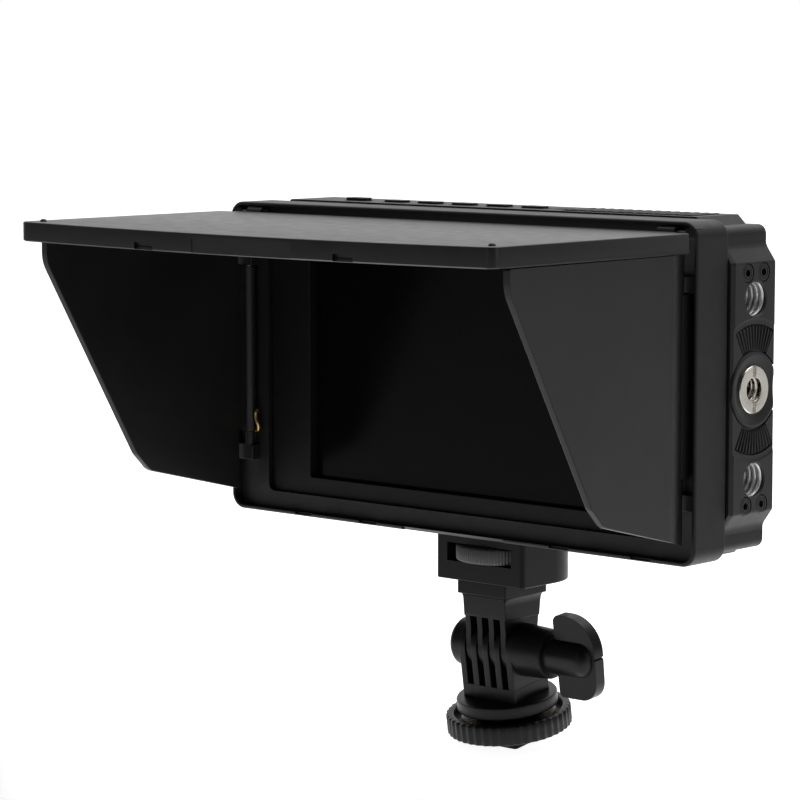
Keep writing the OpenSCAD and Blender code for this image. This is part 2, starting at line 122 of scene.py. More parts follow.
def cyl(ax, a, b, u, v, r, n=64, r2=None):
    return prism(circle(r, n, u, v), ax, a, b, circle(r2, n, u, v) if r2 else None)


def rrect(w, h, r, n=10, cx=0.0, cy=0.0):
    pts = []
    for k, (sx, sy) in enumerate(((1, 1), (-1, 1), (-1, -1), (1, -1))):
        for i in range(n + 1):
            t = math.radians(90 * k + 90 * i / n)
            pts.append((cx + sx * (w / 2 - r) + r * math.cos(t), cy + sy * (h / 2 - r) + r * math.sin(t)))
    return pts


def rounded(p, r, n=6):
    out, m = [], len(p)
    for i in range(m):
        q = r[i] if isinstance(r, (list, tuple)) else r
        b = Vector(p[i])
        if q <= 0:
            out.append(tuple(b))
            continue
        u = (Vector(p[i - 1]) - b).normalized()
        v = (Vector(p[(i + 1) % m]) - b).normalized()
        g = math.acos(max(-1, min(1, u.dot(v))))
        mid = b + (u + v).normalized() * (q / math.sin(g / 2))
        s, e = b + u * (q / math.tan(g / 2)), b + v * (q / math.tan(g / 2))
        a0 = math.atan2(s.y - mid.y, s.x - mid.x)
        a1 = math.atan2(e.y - mid.y, e.x - mid.x)
        da = (a1 - a0 + 3 * math.pi) % TAU - math.pi
        out += [(mid.x + q * math.cos(a0 + da * k / n), mid.y + q * math.sin(a0 + da * k / n)) for k in range(n + 1)]
    return out


def rev(prof, ax, u, v, n=96, closed=False, fun=None):
    """Solid of revolution about an axis. prof is a list of (t, r); closed for a ring's loop."""
    bm = bmesh.new()
    rings = []
    for t, r in prof:
        if r <= 1e-6:
            rings.append([bm.verts.new(place(ax, u, v, t))])
            continue
        ring = []
        for i in range(n):
            a = TAU * i / n
            tt, q = fun(a, t, r) if fun else (t, r)
            ring.append(bm.verts.new(place(ax, u + q * math.cos(a), v + q * math.sin(a), tt)))
        rings.append(ring)
    m = len(rings)
    for k in range(m if closed else m - 1):
        p, q = rings[k], rings[(k + 1) % m]
        for i in range(n):
            j = (i + 1) % n
            if len(p) == 1 and len(q) == 1:
                continue
            if len(p) == 1:
                bm.faces.new((p[0], q[i], q[j]))
            elif len(q) == 1:
                bm.faces.new((p[i], q[0], p[j]))
            else:
                bm.faces.new((p[i], q[i], q[j], p[j]))
    bmesh.ops.recalc_face_normals(bm, faces=bm.faces)
    return obj("part", bm)


def sweep(path, section, closed=False):
    """A section (list of (a, b)) swept along 3-D points."""
    bm = bmesh.new()
    n, rings = len(path), []
    P = [Vector(p) for p in path]
    for i in range(n):
        t = (P[min(i + 1, n - 1)] - P[max(i - 1, 0)]).normalized()
        ref = Vector((1, 0, 0)) if abs(t.x) < 0.8 else Vector((0, 0, 1))
        a = (ref - t * ref.dot(t)).normalized()
        b = t.cross(a)
        rings.append([bm.verts.new(P[i] + a * x + b * y) for x, y in section])
    m = len(section)
    for k in range(n - 1):
        for i in range(m):
            j = (i + 1) % m
            bm.faces.new((rings[k][i], rings[k][j], rings[k + 1][j], rings[k + 1][i]))
    bm.faces.new(rings[0])
    bm.faces.new(rings[-1])
    bmesh.ops.recalc_face_normals(bm, faces=bm.faces)
    return obj("part", bm)


def bake(o):
    bpy.context.view_layer.update()
    me = bpy.data.meshes.new_from_object(o.evaluated_get(bpy.context.evaluated_depsgraph_get()))
    o.modifiers.clear()
    old, o.data = o.data, me
    bpy.data.meshes.remove(old)
    return o


def boo(a, tools, op):
    for b in tools if isinstance(tools, (list, tuple)) else [tools]:
        m = a.modifiers.new("b", "BOOLEAN")
        m.operation, m.solver, m.object = op, "EXACT", b
        bake(a)
        me = b.data
        bpy.data.objects.remove(b)
        bpy.data.meshes.remove(me)
    return a


def cut(a, *tools):
    return boo(a, list(tools), "DIFFERENCE")


def add(a, *tools):
    return boo(a, list(tools), "UNION")


def common(a, *tools):
    return boo(a, list(tools), "INTERSECT")


def join(parts):
    """Separate closed shells in one mesh."""
    bm = bmesh.new()
    for p in parts:
        me = p.data
        me.transform(p.matrix_world)
        bm.from_mesh(me)
        bpy.data.objects.remove(p)
        bpy.data.meshes.remove(me)
    return obj("part", bm)


def tidy(o, dist=0.002):
    bm = bmesh.new()
    bm.from_mesh(o.data)
    bmesh.ops.remove_doubles(bm, verts=bm.verts, dist=dist)
    bmesh.ops.dissolve_degenerate(bm, edges=bm.edges, dist=dist)
    bm.normal_update()
    bm.to_mesh(o.data)
    bm.free()
    return o


def bev(o, w, seg=2, ang=32):
    tidy(o)
    m = o.modifiers.new("bev", "BEVEL")
    m.width, m.segments, m.limit_method, m.angle_limit = w, seg, "ANGLE", math.radians(ang)
    m.miter_outer = "MITER_ARC"
    m.use_clamp_overlap = True
    return bake(o)


def spin(o, ax, deg, u, v):
    """Turns a part about an axis through (u, v)."""
    c = Vector(place(ax, u, v, 0))
    o.data.transform(Matrix.Translation(c) @ Matrix.Rotation(math.radians(deg), 4, ax.upper()) @ Matrix.Translation(-c))
    return o


def copy(o):
    c = bpy.data.objects.new("part", o.data.copy())
    COL.objects.link(c)
    return c


def mirror_x(o):
    bm = bmesh.new()
    bm.from_mesh(o.data)
    for v in bm.verts:
        v.co.x = -v.co.x
    bmesh.ops.reverse_faces(bm, faces=bm.faces)
    bm.to_mesh(o.data)
    bm.free()
    return o


def done(o, name, body, mat, nodes=(), T=T_MON, sharp=38, weighted=True):
    """Names the piece, sets it in the row frame and lets it ride on its body."""
    o.name = name
    o.data.name = name
    o.data.transform(T)
    for p in o.data.polygons:
        p.use_smooth = True
    o.data.set_sharp_from_angle(angle=math.radians(sharp))
    if weighted:
        m = o.modifiers.new("wn", "WEIGHTED_NORMAL")
        m.keep_sharp = True
        m.weight = 60
    o.data.materials.clear()
    for k in mat if isinstance(mat, (list, tuple)) else [mat]:
        o.data.materials.append(k)
    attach(o, body)
    if nodes:
        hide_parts(*nodes)
    return o


# ---------------------------------------------------------------- materials
def new_mat(name):
    m = bpy.data.materials.new(name)
    m.use_nodes = True
    nt = m.node_tree
    return m, nt, nt.nodes["Principled BSDF"]


def noise(nt, scale, detail=2.0, rough=0.5, vec=None):
    n = nt.nodes.new("ShaderNodeTexNoise")
    n.inputs["Scale"].default_value = scale
    n.inputs["Detail"].default_value = detail
    n.inputs["Roughness"].default_value = rough
    if vec is None:
        vec = nt.nodes.new("ShaderNodeTexCoord").outputs["Object"]
    nt.links.new(vec, n.inputs["Vector"])
    return n


def ramp(nt, src, lo, hi, a=0.3, b=0.7):
    m = nt.nodes.new("ShaderNodeMapRange")
    m.inputs["From Min"].default_value, m.inputs["From Max"].default_value = a, b
    m.inputs["To Min"].default_value, m.inputs["To Max"].default_value = lo, hi
    nt.links.new(src, m.inputs["Value"])
    return m.outputs["Result"]


def tint(nt, src, lo, hi, a=0.3, b=0.7):
    r = nt.nodes.new("ShaderNodeValToRGB")
    r.color_ramp.elements[0].position, r.color_ramp.elements[1].position = a, b
    r.color_ramp.elements[0].color, r.color_ramp.elements[1].color = (*lo, 1), (*hi, 1)
    nt.links.new(src, r.inputs["Fac"])
    return r.outputs["Color"]


def plastic(name, base, rough, grain=2600, bump=0.25, vary=0.18, spec=0.5, coat=0.0):
    """Moulded plastic: a fine spark-eroded texture, slow changes of sheen, and a little colour drift."""
    m, nt, p = new_mat(name)
    p.inputs["Specular IOR Level"].default_value = spec
    p.inputs["Coat Weight"].default_value = coat
    slow = noise(nt, 38, 3)
    lo = [c * (1 - vary) for c in base]
    hi = [c * (1 + vary) for c in base]
    nt.links.new(tint(nt, slow.outputs["Fac"], lo, hi), p.inputs["Base Color"])
    mid = noise(nt, 240, 3)
    nt.links.new(ramp(nt, mid.outputs["Fac"], rough - 0.035, rough + 0.035), p.inputs["Roughness"])
    fine = noise(nt, grain, 2, 0.6)
    b = nt.nodes.new("ShaderNodeBump")
    b.inputs["Strength"].default_value = bump
    b.inputs["Distance"].default_value = 0.00004
    nt.links.new(fine.outputs["Fac"], b.inputs["Height"])
    nt.links.new(b.outputs["Normal"], p.inputs["Normal"])
    return m


def metal(name, base, rough, scratch=900, bump=0.12, stretch=(1, 1, 1), metallic=1.0):
    m, nt, p = new_mat(name)
    p.inputs["Metallic"].default_value = metallic
    tc = nt.nodes.new("ShaderNodeTexCoord")
    mp = nt.nodes.new("ShaderNodeMapping")
    mp.inputs["Scale"].default_value = stretch
    nt.links.new(tc.outputs["Object"], mp.inputs["Vector"])
    n = noise(nt, scratch, 4, 0.6, mp.outputs["Vector"])
    nt.links.new(tint(nt, n.outputs["Fac"], [c * 0.86 for c in base], [min(1, c * 1.06) for c in base]), p.inputs["Base Color"])
    nt.links.new(ramp(nt, n.outputs["Fac"], max(0.03, rough - 0.06), rough + 0.08), p.inputs["Roughness"])
    b = nt.nodes.new("ShaderNodeBump")
    b.inputs["Strength"].default_value = bump
    b.inputs["Distance"].default_value = 0.00003
    nt.links.new(n.outputs["Fac"], b.inputs["Height"])
    nt.links.new(b.outputs["Normal"], p.inputs["Normal"])
    return m


M_FRAME = plastic("hood_frame_black", (0.0075, 0.0075, 0.008), 0.5)
M_FLAP = plastic("flap_black", (0.012, 0.012, 0.0127), 0.38, grain=3000, bump=0.15)
M_SHELL = plastic("shell_black", (0.0085, 0.0085, 0.009), 0.5)
M_BEZEL = plastic("bezel_black", (0.0035, 0.0035, 0.0037), 0.5, spec=0.3)
M_STAND = plastic("stand_black", (0.0045, 0.0045, 0.0048), 0.38, spec=0.24)
M_KNOB = plastic("knob_black", (0.005, 0.005, 0.0053), 0.34, spec=0.26)
M_BUTTON = plastic("button_black", (0.014, 0.014, 0.015), 0.42)
M_RUBBER = plastic("rubber_black", (0.007, 0.007, 0.007), 0.75, grain=1500, bump=0.35)
M_WHEEL = plastic("wheel_grey", (0.10, 0.10, 0.10), 0.4, grain=1800)
M_SOCKET = plastic("socket_plastic", (0.01, 0.01, 0.01), 0.3)
M_PLATE = plastic("plate_black_paint", (0.016, 0.016, 0.0168), 0.46, grain=3400, bump=0.3)
M_SCREW = plastic("screw_black_oxide", (0.014, 0.014, 0.0148), 0.42, grain=3400, bump=0.2)
M_COIL = metal("coil_stainless", (0.92, 0.92, 0.93), 0.32, metallic=0.6)
M_NICKEL = metal("bushing_nickel", (0.80, 0.765, 0.70), 0.24)
M_PIN = metal("pin_steel", (0.30, 0.30, 0.31), 0.35)
M_BRASS = metal("spring_brass", (0.72, 0.47, 0.17), 0.3)
M_GOLD = metal("contact_gold", (0.85, 0.62, 0.25), 0.28)
M_TIN = metal("socket_metal", (0.62, 0.62, 0.62), 0.3)
M_ZINC = metal("screw_zinc", (0.22, 0.22, 0.23), 0.34)
M_ALU = metal("panel_aluminium", (0.5, 0.5, 0.52), 0.4)
M_FOOT = metal("foot_anodised", (0.012, 0.012, 0.0125), 0.42)
# the washer's brass is darkened well below real brass: painted shade for the gap between the disc and the lock ring
M_WASHER_SHADED = metal("washer_brass_painted_shade", (0.20, 0.135, 0.055), 0.3)
M_BOARD = plastic("board_green", (0.02, 0.12, 0.05), 0.35)


def glass_black():
    m, nt, p = new_mat("screen_glass_black")
    p.inputs["Base Color"].default_value = (0.0025, 0.0025, 0.003, 1)
    p.inputs["IOR"].default_value = 1.5
    p.inputs["Specular IOR Level"].default_value = 0.09
    n = noise(nt, 55, 3)
    nt.links.new(ramp(nt, n.outputs["Fac"], 0.16, 0.22), p.inputs["Roughness"])
    return m


M_GLASS = glass_black()

# ---------------------------------------------------------------- camera, light, floor
cam = bpy.data.cameras.new("camera")
cam.sensor_width = 36
cam.lens = 3209.6 / 800 * 36
cam.clip_start, cam.clip_end = 0.05, 20
cam_o = bpy.data.objects.new("camera", cam)
COL.objects.link(cam_o)
az, el = math.radians(42.07), math.radians(6.29)
fwd = Vector((-math.sin(az) * math.cos(el), math.cos(az) * math.cos(el), -math.sin(el)))
right = Vector((math.cos(az), math.sin(az), 0))
up = right.cross(fwd)
rot = Matrix((right, up, -fwd)).transposed().to_4x4()
cam_o.matrix_world = Matrix.Translation(T_MON @ Vector((542.07, -619.36, 84.06))) @ rot
SCENE.camera = cam_o

floor_z = CAD_BOX[0][2] - 0.0002
bm = bmesh.new()
bmesh.ops.create_grid(bm, x_segments=2, y_segments=2, size=6)
floor = obj("floor", bm)
floor.location = (0, 0, floor_z)
m, nt, p = new_mat("floor_pale")
p.inputs["Base Color"].default_value = (0.9, 0.9, 0.9, 1)
p.inputs["Roughness"].default_value = 0.9
p.inputs["Specular IOR Level"].default_value = 0.1
p.inputs["Emission Color"].default_value = (1, 1, 1, 1)
# the lit sweep runs from just in front of the stand away behind it
tc = nt.nodes.new("ShaderNodeTexCoord")


def along(vec):
    d = nt.nodes.new("ShaderNodeVectorMath")
    d.operation = "DOT_PRODUCT"
    d.inputs[1].default_value = vec
    nt.links.new(tc.outputs["Object"], d.inputs[0])
    return d.outputs["Value"]


def calc(op, a, b=0.0, c=0.0):
    n = nt.nodes.new("ShaderNodeMath")
    n.operation = op
    for k, v in enumerate((a, b, c)):
        if isinstance(v, float):
            n.inputs[k].default_value = v
        else:
            nt.links.new(v, n.inputs[k])
    return n.outputs["Value"]


back = along((-0.67, 0.742, 0))
side = calc("ABSOLUTE", along((0.742, 0.67, 0)))
reach = calc("SUBTRACT", calc("MULTIPLY_ADD", back, 0.135, 0.12), side)
lit = calc("MULTIPLY", ramp(nt, back, 0, 1, -0.10, -0.065), ramp(nt, reach, 0, 1, -0.04, 0.0))
nt.links.new(calc("MULTIPLY", lit, 0.92), p.inputs["Emission Strength"])
floor.data.materials.append(m)


def area(name, loc, target, size, power, size_y=None, color=(1, 1, 1)):
    l = bpy.data.lights.new(name, "AREA")
    l.energy, l.size, l.color = power, size, color
    if size_y:
        l.shape, l.size_y = "RECTANGLE", size_y
    o = bpy.data.objects.new(name, l)
    COL.objects.link(o)
    o.location = loc
    o.rotation_euler = (Vector(target) - Vector(loc)).to_track_quat("-Z", "Y").to_euler()
    o.visible_camera = False
    return o


world = bpy.data.worlds.new("studio")
SCENE.world = world
world.use_nodes = True
nt = world.node_tree
bg = nt.nodes["Background"]
bg.inputs["Strength"].default_value = 1.0
tc = nt.nodes.new("ShaderNodeTexCoord")
# the reflected surroundings: bright behind and above, dim on the near side
dot = nt.nodes.new("ShaderNodeVectorMath")
dot.operation = "DOT_PRODUCT"
dot.inputs[1].default_value = (-0.62, 0.70, 0.35)
nt.links.new(tc.outputs["Generated"], dot.inputs[0])
env = tint(nt, ramp(nt, dot.outputs["Value"], 0, 1, -1, 1), (0.009, 0.009, 0.009), (1.0, 1.0, 1.0), 0.56, 0.92)
lp = nt.nodes.new("ShaderNodeLightPath")
mix = nt.nodes.new("ShaderNodeMix")
mix.data_type = "RGBA"
nt.links.new(lp.outputs["Is Camera Ray"], mix.inputs["Factor"])
nt.links.new(env, mix.inputs["A"])
mix.inputs["B"].default_value = (1, 1, 1, 1)
nt.links.new(mix.outputs["Result"], bg.inputs["Color"])
area("key_top", (0.15, 0.25, 1.2), (0, 0, 0.1), 1.2, 8)
area("side_right", (1.5, 0.05, 0.5), (0.05, 0, 0.1), 0.5, 1.5, 0.9)
area("side_front", (-0.2, -1.5, 0.5), (0, 0, 0.1), 0.5, 0.65, 0.9)
SCENE.view_settings.view_transform = "Standard"


# ---------------------------------------------------------------- sun hood
def make_hood_frame():
    f = bev(prism(rrect(158.6, 84.2, 4.2, 14), "y", 0, 12.6), 0.6, 4, 40)
    f = cut(f, prism(rrect(156.8, 82.4, 3.4, 10), "y", -1, 3.0), prism(rrect(156, 81.6, 3, 10), "y", 4.3, 13),
            prism(rrect(136, 73.4, 2, 6), "y", 2, 5))
    for x in (-52.3, -28.6, 36.6, 62.6):
        f = cut(f, prism([(-0.2, -41.75), (0.9, -41.75), (0.9, -40.9), (-0.2, -40.9)], "x", x - 3.1, x + 3.1))
    f = cut(f, prism([(-0.3, -42.6), (1.5, -42.6), (1.2, -42.1), (0.0, -41.15), (-0.3, -41.1)], "x", -16.3, 18.4))
    for s in (1, -1):
        for z0, z1 in ((24.9, 28.9), (-28.4, -24.2)):
            e = box((min(s * 71.4, s * 78.6), 0.05, z0), (max(s * 71.4, s * 78.6), 3.1, z1))
            f = add(f, bev(e, 0.3, 3, 40))
        e = box((min(s * 75.3, s * 78.6), 0.2, 37.8), (max(s * 75.3, s * 78.6), 3.1, 40.6))
        f = add(f, bev(e, 0.3, 3, 40))
    tidy(f)
    c = [rev([(-24.3, 0.82), (-24.3, 1.25), (-20.75, 1.25), (-20.55, 1.1), (-20.55, 0.95), (-22.4, 0.95), (-22.4, 0.82)], "z", s * HX, HY, 40, closed=True) for s in (1, -1)]
    return done(join([f] + c), "hood_frame_moulding", "hood", M_FRAME, ["hood_frame"])


def tray_outline(d, r):
    return rounded([(-79.5 + d, -3.6), (-79.5 + d, -REACH + d), (79.5 - d, -REACH + d), (79.5 - d, -3.6),
                    (74.6, -3.6), (74.6, -1.5), (-74.6, -1.5), (-74.6, -3.6)], [0, r, r, 0, 0, 0, 0, 0], 14)


def make_top_flap():
    f = prism(tray_outline(0, 2.6), "z", FZ - 4.6, FZ)
    f = bev(f, 0.35, 4, 40)
    f = add(cut(f, box((-90, -90, FZ - 6), (90, 10, FZ - 4.0))), prism(tray_outline(0, 2.6), "z", FZ - 4.65, FZ - 3.95),
            prism(tray_outline(0.45, 2.15), "z", FZ - 5.0, FZ - 4.64, tray_outline(0, 2.6)))
    tidy(f).data.transform(Matrix.Translation((0, 0, 0.2)))
    f = cut(f, prism(rounded([(-77.9, 1), (-77.9, 1.6 - REACH), (77.9, 1.6 - REACH), (77.9, 1)], [0, 1.2, 1.2, 0], 8), "z", FZ - 6, FZ - 1.6))
    for x in (-33.6, 33.6):
        f = cut(f, prism([(-REACH - 0.3, 34.35), (-REACH + 0.1, 34.45), (-REACH + 0.85, 35.7), (-REACH + 0.85, 36.5), (-REACH - 0.3, 36.5)], "x", x - 3.2, x + 3.2))
    # thumb lip in the middle of the front rim
    f = cut(f, box((-16.5, -REACH - 1, FZ - 6), (16.5, -REACH + 0.14, FZ - 1.0)))
    for s in (1, -1):
        a, b = sorted((s * 67.2, s * 72.5))
        f = add(f, box((a, -3, FZ - 1.3), (b, TAY, FZ + 0.15)), cyl("x", a, b, TAY, TAZ, 1.7, 40), box((a, 0.0, FZ - 1.6), (b, TAY, 40.9)))
        f = cut(f, cyl("x", a - 0.2, b + 0.2, TAY, TAZ, 0.85, 24))
    tidy(f)
    bm = bmesh.new()
    bm.from_mesh(f.data)
    for k in range(-17, 18):
        x = k * 4.4
        bmesh.ops.bisect_plane(bm, geom=bm.verts[:] + bm.edges[:] + bm.faces[:], plane_co=(x, 0, 0), plane_no=(1, 0, 0), dist=1e-4)
    for v in bm.verts:
        x, y = v.co.x, v.co.y
        reach = max(0.0, min(1.0, (-y - 4) / 70))
        v.co.z -= 0.55 * reach * (1 - (x / 79.3) ** 2)
    bm.to_mesh(f.data)
    bm.free()
    done(f, "top_flap_tray", "top_flap", M_FLAP, ["hood_top_flap"], weighted=False, sharp=30)
    nubs = []
    for s in (1, -1):
        nubs.append(rev([(FZ - 0.9, 0), (FZ - 0.9, 0.9), (FZ + 0.3, 0.9), (FZ + 0.55, 0.78), (FZ + 0.74, 0.52), (FZ + 0.8, 0.25), (FZ + 0.82, 0)], "z", s * 75.3, -71.4, 32))
    done(join(nubs), "flap_bumper_nubs", "top_flap", M_BUTTON, ["flap_bumpers"])


SIDE = [(-0.3, 34.4), (-69.3, 34.4), (-69.3, 28.97), (-38.6, -23.6), (-33.7, -28.5), (-0.3, -36.7)]


def make_side_flap(right):
    f = prism(rounded(SIDE, [0.6, 0.6, 9, 6, 5, 1], 10), "x", 75.6, 77.6)
    f = bev(f, 0.25, 3, 40)
    f = cut(f, box((74, -0.8, -37), (79, 1, 37)))
    # the rear margin slopes in towards the hinge
    f = cut(f, prism([(78.3, -9.0), (78.3, 0.5), (75.9, 0.5)] + [(77.6 - 1.7 * (k / 10) ** 2, -9.0 + 0.83 * k) for k in range(10, -1, -1)], "z", -38, 35))
    f = add(f, box((75.6, -2.4, -20.3), (76.6, HY, 24.5)), box((HX, 0.1, -20.3), (76.6, HY, 24.5)), cyl("z", -20.3, 24.5, HX, HY, 1.6, 48))
    f = cut(f, cyl("z", -20.6, 24.8, HX, HY, 0.85, 24))
    spin(tidy(f), "z", 0.9, HX, HY)
    name = "right_flap" if right else "left_flap"
    if not right:
        mirror_x(f)
    done(f, name + "_panel", name, M_FLAP, ["hood_" + name])
    # torsion spring: turns inside the collar under the barrel, then a hooked leg beside it
    turns, pts = 2.5, []
    for i in range(int(turns * 20) + 1):
        a = TAU * i / 20
        pts.append((HX + 0.9 * math.cos(a) * -1, HY + 0.9 * math.sin(a), -20.9 + 0.5 * i / (turns * 20)))
    knots = [(HX + 0.9, HY, -20.4), (HX - 1.6, HY + 0.6, -20.42), (HX - 2.5, HY + 0.5, -20.1), (HX - 2.95, HY + 0.2, -19.2), (HX - 2.9, HY - 0.1, -18.2),
             (HX - 2.5, HY - 0.2, -17.3), (HX - 2.3, HY - 0.2, -16.2), (HX - 2.3, HY - 0.1, -15.2), (HX - 2.4, HY + 0.5, -14.8), (HX - 2.6, HY + 1.2, -14.8)]
    leg = []
    for i in range(1, len(knots) - 2):
        p0, p1, p2, p3 = (Vector(q) for q in knots[i - 1:i + 3])
        for k in range(8):
            t = k / 8
            leg.append(tuple(0.5 * (2 * p1 + (p2 - p0) * t + (2 * p0 - 5 * p1 + 4 * p2 - p3) * t * t + (3 * p1 - p0 - 3 * p2 + p3) * t ** 3)))
    sp = join([sweep(pts, circle(0.13, 8)), sweep(leg, circle(0.5, 16))])
    if not right:
        mirror_x(sp)
    side = "right" if right else "left"
    done(sp, side + "_torsion_spring", "hood", M_BRASS, [side + "_hinge_spring"], sharp=60, weighted=False)


make_hood_frame()
make_top_flap()
make_side_flap(True)
make_side_flap(False)


# ---------------------------------------------------------------- monitor
def make_bezel():
    f = prism(rrect(155.2, B_TOP + B_BOT, 2.4, 8, 0, (B_TOP - B_BOT) / 2), "y", 4.6, 8.4)
    f = cut(f, prism(rrect(108, 63.5, 1, 6, 0, -0.35), "y", 4, 9, rrect(106.5, 62, 1, 6, 0, -0.35)),
            prism(rrect(120, 69.5, 1, 6, 0, -0.35), "y", 7.1, 9))
    bev(f, 0.22, 2, 40)
    done(f, "bezel_moulding", "monitor", M_BEZEL, ["front_bezel"])
    g = prism(rrect(119.8, 69.3, 1, 6, 0, -0.35), "y", 7.15, 8.35)
    bev(g, 0.12, 2, 40)
    done(g, "cover_glass", "monitor", M_GLASS, ["screen_glass"])


BUTTON_X = [-50, -36, -24, -12, 0, 12]


def make_shell():
    f = prism(rrect(155.2, B_TOP + B_BOT, 2.4, 10, 0, (B_TOP - B_BOT) / 2), "y", 8.4, B_BACK)
    f = add(f, prism([(-71.3, B_TOP - 1), (-71.3, B_TOP), (-69, B_TOP + RIDGE), (69, B_TOP + RIDGE), (71.3, B_TOP), (71.3, B_TOP - 1)], "y", 13.2, B_BACK))
    f = add(f, prism([(-71.3, 1 - B_BOT), (-71.3, -B_BOT), (-69, -B_BOT - RIDGE), (69, -B_BOT - RIDGE), (71.3, -B_BOT), (71.3, 1 - B_BOT)], "y", 13.2, B_BACK))
    f = cut(f, box((-75.6, 8.0, -38.4), (75.6, 28.4, 38.3)))
    cuts = [box((x - 3.95, 17.85, B_TOP - 2.1), (x + 3.95, 22.15, B_TOP + 3)) for x in BUTTON_X]
    cuts.append(box((24, 15, B_TOP - 2.2), (66, 28, B_TOP + 3)))
    for s in (1, -1):
        for z in (INS_Z, -INS_Z):
            cuts.append(cyl("x", *sorted((s * 75, s * 78)), ROS_Y, z, 4.8))
        cuts.append(cyl("x", *sorted((s * 75, s * 78)), ROS_Y, 0, 6.0))
    cuts += [box((-52, 28, -30), (-36, 31, -24)), box((-32, 28, -30), (-16, 31, -24)),
             cyl("y", 28, 31, 28, -27, 4.2), cyl("y", 28, 31, 42, -27, 3.2), cyl("z", -B_BOT - 3, -37, 0, WHEEL_Y, 5)]
    # cooling slots across the back
    for k in range(9):
        for s in (1, -1):
            cuts.append(prism(rounded([(s * 30, 14 - k * 3.2), (s * 60, 14 - k * 3.2), (s * 60, 15.4 - k * 3.2), (s * 30, 15.4 - k * 3.2)], 0.65, 4), "y", B_BACK - 0.9, B_BACK + 1))
    f = boo(f, cuts, "DIFFERENCE")
    bev(f, 0.45, 3, 40)
    done(f, "rear_housing", "monitor", M_SHELL, ["rear_shell"])
    g = box((24.15, 15.15, B_TOP - 1.6), (65.85, 27.85, B_TOP + 1.2))
    ribs = []
    for i in range(14):
        r = box((25.2 + i * 3, 15.6, B_TOP + 0.6), (26.6 + i * 3, 27.4, B_TOP + RIDGE + 0.3))
        bev(r, 0.3, 3, 40)
        ribs.append(r)
    bev(g, 0.2, 2, 40)
    done(join([g] + ribs), "ribbed_grille", "monitor", M_SHELL, ["top_grille"])
    names = ["power", "input", "menu", "down", "up", "function"]
    for i, (nm, x) in enumerate(zip(names, BUTTON_X)):
        h = B_TOP + RIDGE + (0.8 if i == 0 else 0.6)
        b = prism(rrect(7.3, 3.7, 1.2, 8, x, 20), "z", B_TOP - 0.2, h)
        if i:
            b = cut(b, rev([(h - 0.22, 0), (h - 0.22, 0.7), (h + 1, 1.2), (h + 1, 0)], "z", x, 20, 24))
        else:
            b = cut(b, rev([(h - 0.2, 0.55), (h - 0.2, 0.95), (h + 1, 1.2), (h + 1, 0.3)], "z", x, 20, 32, closed=True))
        bev(b, 0.25, 3, 50)
        done(b, nm + "_button_cap", nm + "_button", M_BUTTON, [nm + "_button"])


def thread_tube(x0, x1, y, z, ro, rmin, depth, pitch, slot=False, n=72, per=14):
    """A tube along X whose bore carries a thread."""
    m = max(8, int((x1 - x0) / pitch * per))
    bm = bmesh.new()
    inner, steps = [], []
    for k in range(m + 1):
        t = x0 + (x1 - x0) * k / m
        ring = []
        for i in range(n):
            a = TAU * i / n
            ph = (t / pitch - i / n) % 1.0
            tri = 1 - abs(2 * ph - 1)
            r = rmin + depth * min(1.0, max(0.0, tri * 1.35 - 0.12))
            ring.append(bm.verts.new((t, y + r * math.cos(a), z + r * math.sin(a))))
        inner.append(ring)
    outer = [[bm.verts.new((t, y + q * math.cos(TAU * i / n), z + q * math.sin(TAU * i / n))) for i in range(n)]
             for t, q in ((x0, ro), (x1 - 0.25, ro), (x1, ro - 0.25))]
    loops = outer + inner[::-1]
    for k in range(len(loops)):
        p, q = loops[k], loops[(k + 1) % len(loops)]
        for i in range(n):
            j = (i + 1) % n
            bm.faces.new((p[i], q[i], q[j], p[j]))
    bmesh.ops.recalc_face_normals(bm, faces=bm.faces)
    return obj("part", bm)


def coil(x0, x1, y, z, r, depth, half, pitch):
    """Rounded turns of wire that line a bore, as a thread insert shows from its mouth."""
    n = int((x1 - x0) / pitch * 48)
    bm = bmesh.new()
    rings = []
    for i in range(n + 1):
        a = TAU * i / 48
        e = min(1.0, 0.15 + (n - i) / 10, 0.15 + i / 10)
        t = x0 + (x1 - x0) * i / n
        ring = []
        for k in range(9):
            b = math.pi * k / 8
            q = r - depth * e * math.sin(b)
            ring.append(bm.verts.new((t + half * math.cos(b), y + q * math.cos(a), z + q * math.sin(a))))
        rings.append(ring)
    m = len(rings[0])
    for k in range(n):
        for i in range(m):
            j = (i + 1) % m
            bm.faces.new((rings[k][i], rings[k][j], rings[k + 1][j], rings[k + 1][i]))
    bm.faces.new(rings[0])
    bm.faces.new(rings[-1])
    bmesh.ops.recalc_face_normals(bm, faces=bm.faces)
    return obj("part", bm)


def fan(a0, r0, r1, half):
    pts = []
    for r, sg in ((r1, 1), (r0, -1)):
        for k in range(17):
            t = math.radians(a0 + sg * half * (k / 8 - 1))
            pts.append((ROS_Y + r * math.cos(t), r * math.sin(t)))
    return pts


